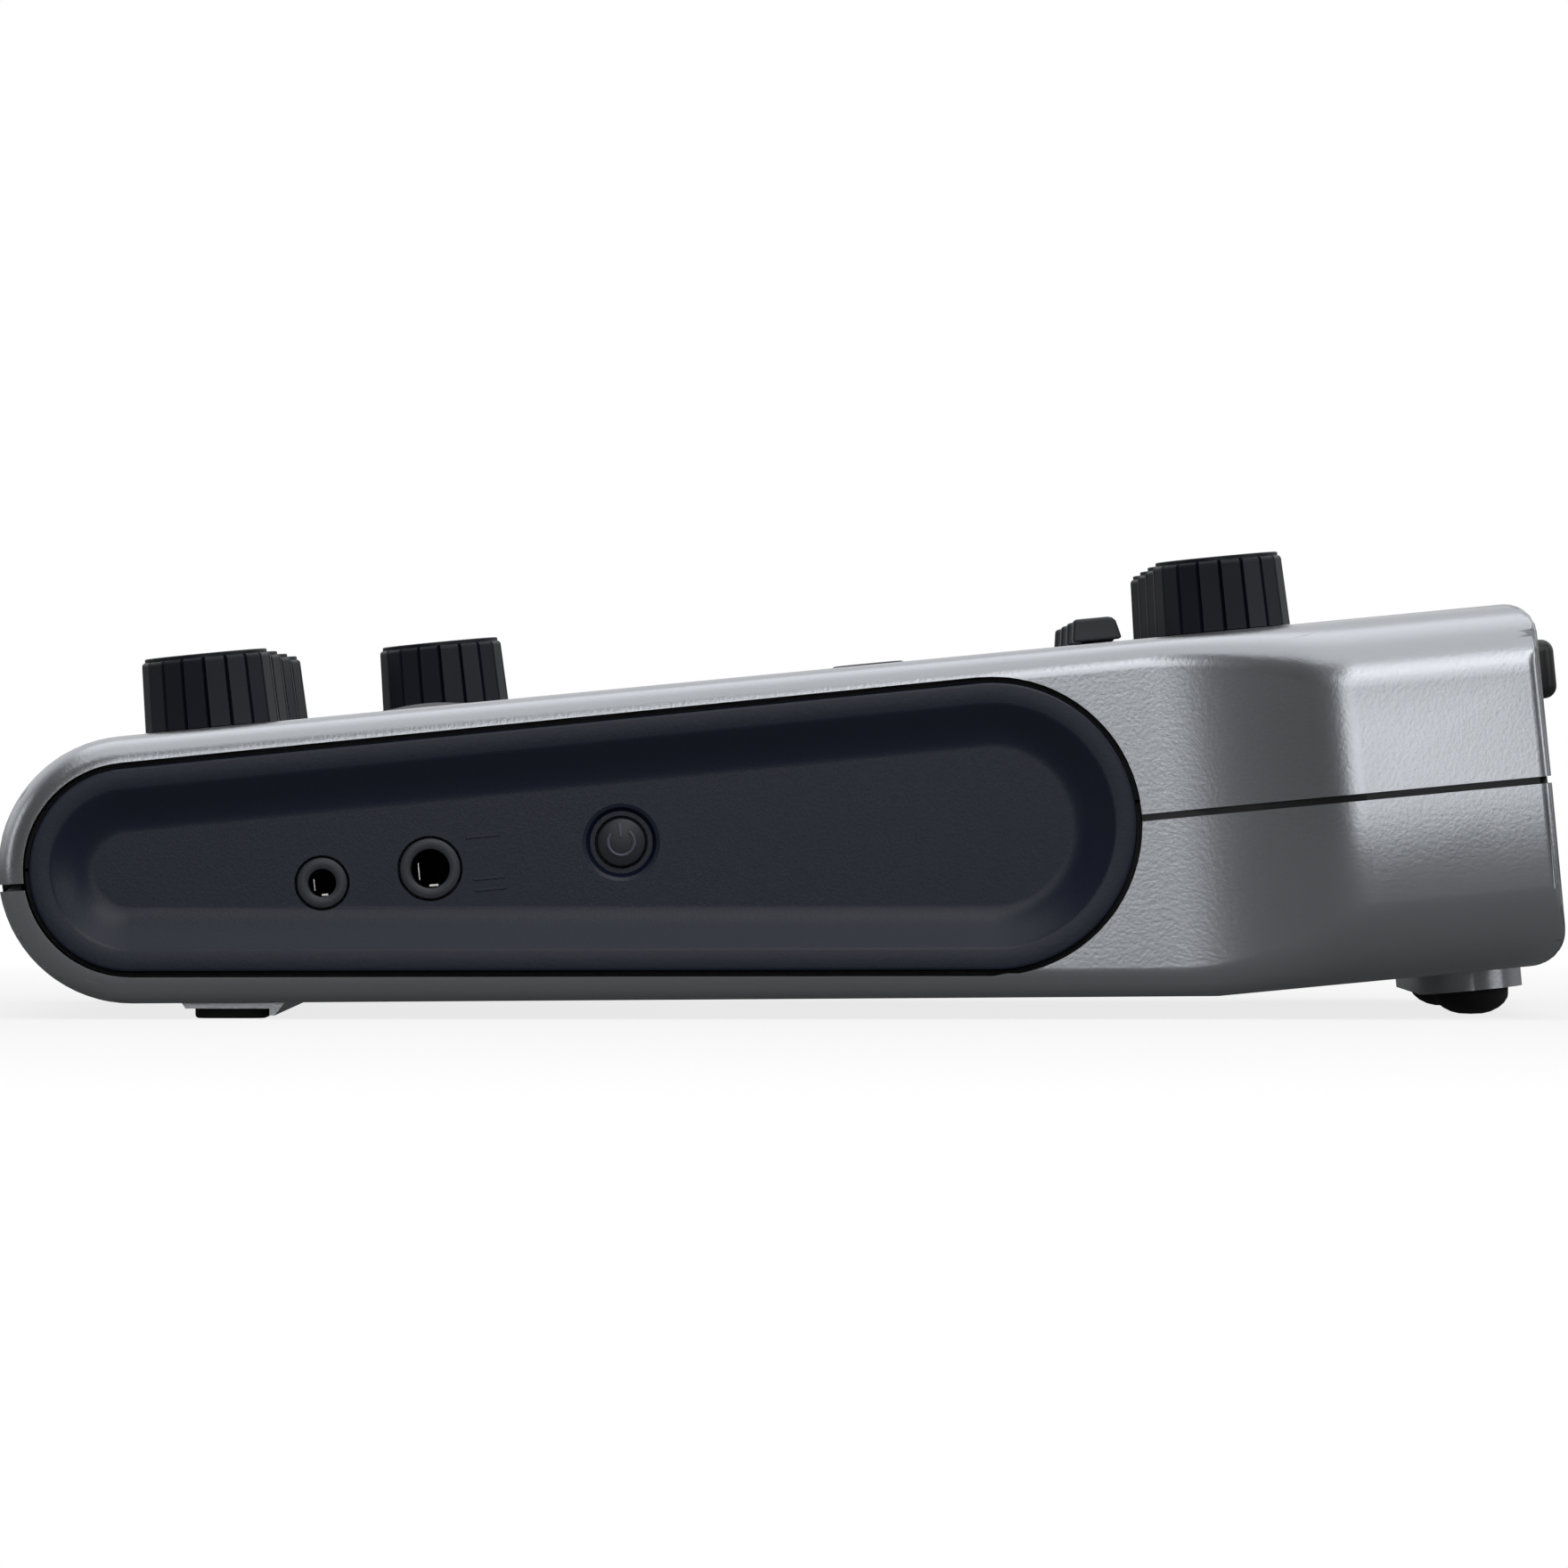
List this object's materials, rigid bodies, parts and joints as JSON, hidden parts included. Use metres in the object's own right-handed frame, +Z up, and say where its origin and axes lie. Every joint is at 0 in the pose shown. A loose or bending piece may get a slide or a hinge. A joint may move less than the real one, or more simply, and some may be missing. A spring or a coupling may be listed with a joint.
{
  "type": "podcast recorder",
  "caption": "Wedge-shaped desktop audio recorder with fluted knobs, sound pads and sliders on a sloping deck, microphone sockets at the back and dished side panels.",
  "frame": {"origin": "centre of the bounding box at its bottom, on the table under the feet", "axes": "+X to the right as the user sees it, +Y from the rounded nose to the rear sockets, +Z up"},
  "size_m": [0.112, 0.1552, 0.0466],
  "materials": {
    "silver_case": "satin metallic silver paint on moulded plastic, with a fine grain",
    "dark_panel": "dark blue-grey moulded plastic, finely textured",
    "dark_knob": "near-black moulded plastic, satin",
    "black_plastic": "black moulded plastic, satin",
    "pad_rubber": "matt dark silicone rubber",
    "red_rubber": "matt red silicone rubber",
    "foot_rubber": "matt black rubber",
    "display_lens": "polished dark acrylic",
    "circuit_board": "glass-fibre board with a satin solder mask",
    "bright_steel": "plated steel, satin",
    "cell_sleeve": "printed sleeve without words, glossy"
  },
  "bodies": {
    "case": {"upper_case": "silver_case", "lower_case": "silver_case", "case_screw_1": "bright_steel", "case_screw_2": "bright_steel", "case_screw_3": "bright_steel", "case_screw_4": "bright_steel", "side_panel_right": "dark_panel", "side_panel_left": "dark_panel", "display_lens": "display_lens", "display_module": "black_plastic", "control_board": "circuit_board", "main_board": "circuit_board", "xlr_socket_1": "black_plastic", "xlr_socket_2": "black_plastic", "xlr_socket_3": "black_plastic", "xlr_socket_4": "black_plastic", "phones_jack_1": "black_plastic", "phones_jack_2": "black_plastic", "phones_jack_3": "black_plastic", "phones_jack_4": "black_plastic", "remote_jack": "black_plastic", "line_jack": "black_plastic", "usb_port": "bright_steel", "card_slot": "bright_steel", "battery_cell_1": "cell_sleeve", "battery_cell_2": "cell_sleeve", "front_foot_left": "foot_rubber", "front_foot_right": "foot_rubber", "rear_foot_left": "foot_rubber", "rear_foot_right": "foot_rubber"},
    "gain_knob_1": {"gain_knob_1": "dark_knob"},
    "gain_knob_2": {"gain_knob_2": "dark_knob"},
    "gain_knob_3": {"gain_knob_3": "dark_knob"},
    "gain_knob_4": {"gain_knob_4": "dark_knob"},
    "phones_knob_1": {"phones_knob_1": "dark_knob"},
    "phones_knob_2": {"phones_knob_2": "dark_knob"},
    "phones_knob_3": {"phones_knob_3": "dark_knob"},
    "phones_knob_4": {"phones_knob_4": "dark_knob"},
    "level_knob": {"level_knob": "dark_knob"},
    "input_switch_1": {"input_switch_1": "black_plastic"},
    "input_switch_2": {"input_switch_2": "black_plastic"},
    "input_switch_3": {"input_switch_3": "black_plastic"},
    "input_switch_4": {"input_switch_4": "black_plastic"},
    "sound_pad_1": {"sound_pad_1": "pad_rubber"},
    "sound_pad_2": {"sound_pad_2": "pad_rubber"},
    "sound_pad_3": {"sound_pad_3": "pad_rubber"},
    "sound_pad_4": {"sound_pad_4": "pad_rubber"},
    "stop_button": {"stop_button": "pad_rubber"},
    "play_button": {"play_button": "pad_rubber"},
    "record_button": {"record_button": "red_rubber"},
    "menu_key_1": {"menu_key_1": "pad_rubber"},
    "menu_key_2": {"menu_key_2": "pad_rubber"},
    "menu_key_3": {"menu_key_3": "pad_rubber"},
    "power_button": {"power_button": "black_plastic"},
    "xlr_latch_1": {"xlr_latch_1": "black_plastic"},
    "xlr_latch_2": {"xlr_latch_2": "black_plastic"},
    "xlr_latch_3": {"xlr_latch_3": "black_plastic"},
    "xlr_latch_4": {"xlr_latch_4": "black_plastic"},
    "battery_door": {"battery_door": "black_plastic"}
  },
  "joints": [
    {"name": "gain_knob_1_turn", "type": "hinge", "parent": "case", "child": "gain_knob_1", "pos_m": [-0.039, 0.04433, 0.03852], "axis": [0, -0.095, 0.9955], "range_deg": [-150, 150]},
    {"name": "gain_knob_2_turn", "type": "hinge", "parent": "case", "child": "gain_knob_2", "pos_m": [-0.013, 0.04433, 0.03852], "axis": [0, -0.095, 0.9955], "range_deg": [-150, 150]},
    {"name": "gain_knob_3_turn", "type": "hinge", "parent": "case", "child": "gain_knob_3", "pos_m": [0.013, 0.04433, 0.03852], "axis": [0, -0.095, 0.9955], "range_deg": [-150, 150]},
    {"name": "gain_knob_4_turn", "type": "hinge", "parent": "case", "child": "gain_knob_4", "pos_m": [0.039, 0.04433, 0.03852], "axis": [0, -0.095, 0.9955], "range_deg": [-150, 150]},
    {"name": "phones_knob_1_turn", "type": "hinge", "parent": "case", "child": "phones_knob_1", "pos_m": [-0.0375, -0.05681, 0.02888], "axis": [0, -0.095, 0.9955], "range_deg": [-150, 150]},
    {"name": "phones_knob_2_turn", "type": "hinge", "parent": "case", "child": "phones_knob_2", "pos_m": [-0.0125, -0.05681, 0.02888], "axis": [0, -0.095, 0.9955], "range_deg": [-150, 150]},
    {"name": "phones_knob_3_turn", "type": "hinge", "parent": "case", "child": "phones_knob_3", "pos_m": [0.0125, -0.05681, 0.02888], "axis": [0, -0.095, 0.9955], "range_deg": [-150, 150]},
    {"name": "phones_knob_4_turn", "type": "hinge", "parent": "case", "child": "phones_knob_4", "pos_m": [0.0375, -0.05681, 0.02888], "axis": [0, -0.095, 0.9955], "range_deg": [-150, 150]},
    {"name": "level_knob_turn", "type": "hinge", "parent": "case", "child": "level_knob", "pos_m": [-0.038, -0.03549, 0.03091], "axis": [0, -0.095, 0.9955], "range_deg": [-150, 150]},
    {"name": "input_switch_1_slide", "type": "slide", "parent": "case", "child": "input_switch_1", "axis": [0, 0.9955, 0.095], "range_m": [0, 0.002]},
    {"name": "input_switch_2_slide", "type": "slide", "parent": "case", "child": "input_switch_2", "axis": [0, 0.9955, 0.095], "range_m": [0, 0.002]},
    {"name": "input_switch_3_slide", "type": "slide", "parent": "case", "child": "input_switch_3", "axis": [0, 0.9955, 0.095], "range_m": [0, 0.002]},
    {"name": "input_switch_4_slide", "type": "slide", "parent": "case", "child": "input_switch_4", "axis": [0, 0.9955, 0.095], "range_m": [0, 0.002]},
    {"name": "sound_pad_1_press", "type": "slide", "parent": "case", "child": "sound_pad_1", "axis": [0, 0.095, -0.9955], "range_m": [0, 0.0006], "stiffness_N_per_m": 500},
    {"name": "sound_pad_2_press", "type": "slide", "parent": "case", "child": "sound_pad_2", "axis": [0, 0.095, -0.9955], "range_m": [0, 0.0006], "stiffness_N_per_m": 500},
    {"name": "sound_pad_3_press", "type": "slide", "parent": "case", "child": "sound_pad_3", "axis": [0, 0.095, -0.9955], "range_m": [0, 0.0006], "stiffness_N_per_m": 500},
    {"name": "sound_pad_4_press", "type": "slide", "parent": "case", "child": "sound_pad_4", "axis": [0, 0.095, -0.9955], "range_m": [0, 0.0006], "stiffness_N_per_m": 500},
    {"name": "stop_button_press", "type": "slide", "parent": "case", "child": "stop_button", "axis": [0, 0.095, -0.9955], "range_m": [0, 0.0004], "stiffness_N_per_m": 500},
    {"name": "play_button_press", "type": "slide", "parent": "case", "child": "play_button", "axis": [0, 0.095, -0.9955], "range_m": [0, 0.0004], "stiffness_N_per_m": 500},
    {"name": "record_button_press", "type": "slide", "parent": "case", "child": "record_button", "axis": [0, 0.095, -0.9955], "range_m": [0, 0.0004], "stiffness_N_per_m": 500},
    {"name": "menu_key_1_press", "type": "slide", "parent": "case", "child": "menu_key_1", "axis": [0, 0.095, -0.9955], "range_m": [0, 0.0004], "stiffness_N_per_m": 500},
    {"name": "menu_key_2_press", "type": "slide", "parent": "case", "child": "menu_key_2", "axis": [0, 0.095, -0.9955], "range_m": [0, 0.0004], "stiffness_N_per_m": 500},
    {"name": "menu_key_3_press", "type": "slide", "parent": "case", "child": "menu_key_3", "axis": [0, 0.095, -0.9955], "range_m": [0, 0.0004], "stiffness_N_per_m": 500},
    {"name": "power_button_press", "type": "slide", "parent": "case", "child": "power_button", "axis": [-1, 0, 0], "range_m": [0, 0.0005], "stiffness_N_per_m": 500},
    {"name": "xlr_latch_1_press", "type": "slide", "parent": "case", "child": "xlr_latch_1", "axis": [0, -0.9955, -0.095], "range_m": [0, 0.0012], "stiffness_N_per_m": 500},
    {"name": "xlr_latch_2_press", "type": "slide", "parent": "case", "child": "xlr_latch_2", "axis": [0, -0.9955, -0.095], "range_m": [0, 0.0012], "stiffness_N_per_m": 500},
    {"name": "xlr_latch_3_press", "type": "slide", "parent": "case", "child": "xlr_latch_3", "axis": [0, -0.9955, -0.095], "range_m": [0, 0.0012], "stiffness_N_per_m": 500},
    {"name": "xlr_latch_4_press", "type": "slide", "parent": "case", "child": "xlr_latch_4", "axis": [0, -0.9955, -0.095], "range_m": [0, 0.0012], "stiffness_N_per_m": 500},
    {"name": "battery_door_swing", "type": "hinge", "parent": "case", "child": "battery_door", "pos_m": [0, -0.0144, 0.0034], "axis": [1, 0, 0], "range_deg": [0, 75]}
  ]
}
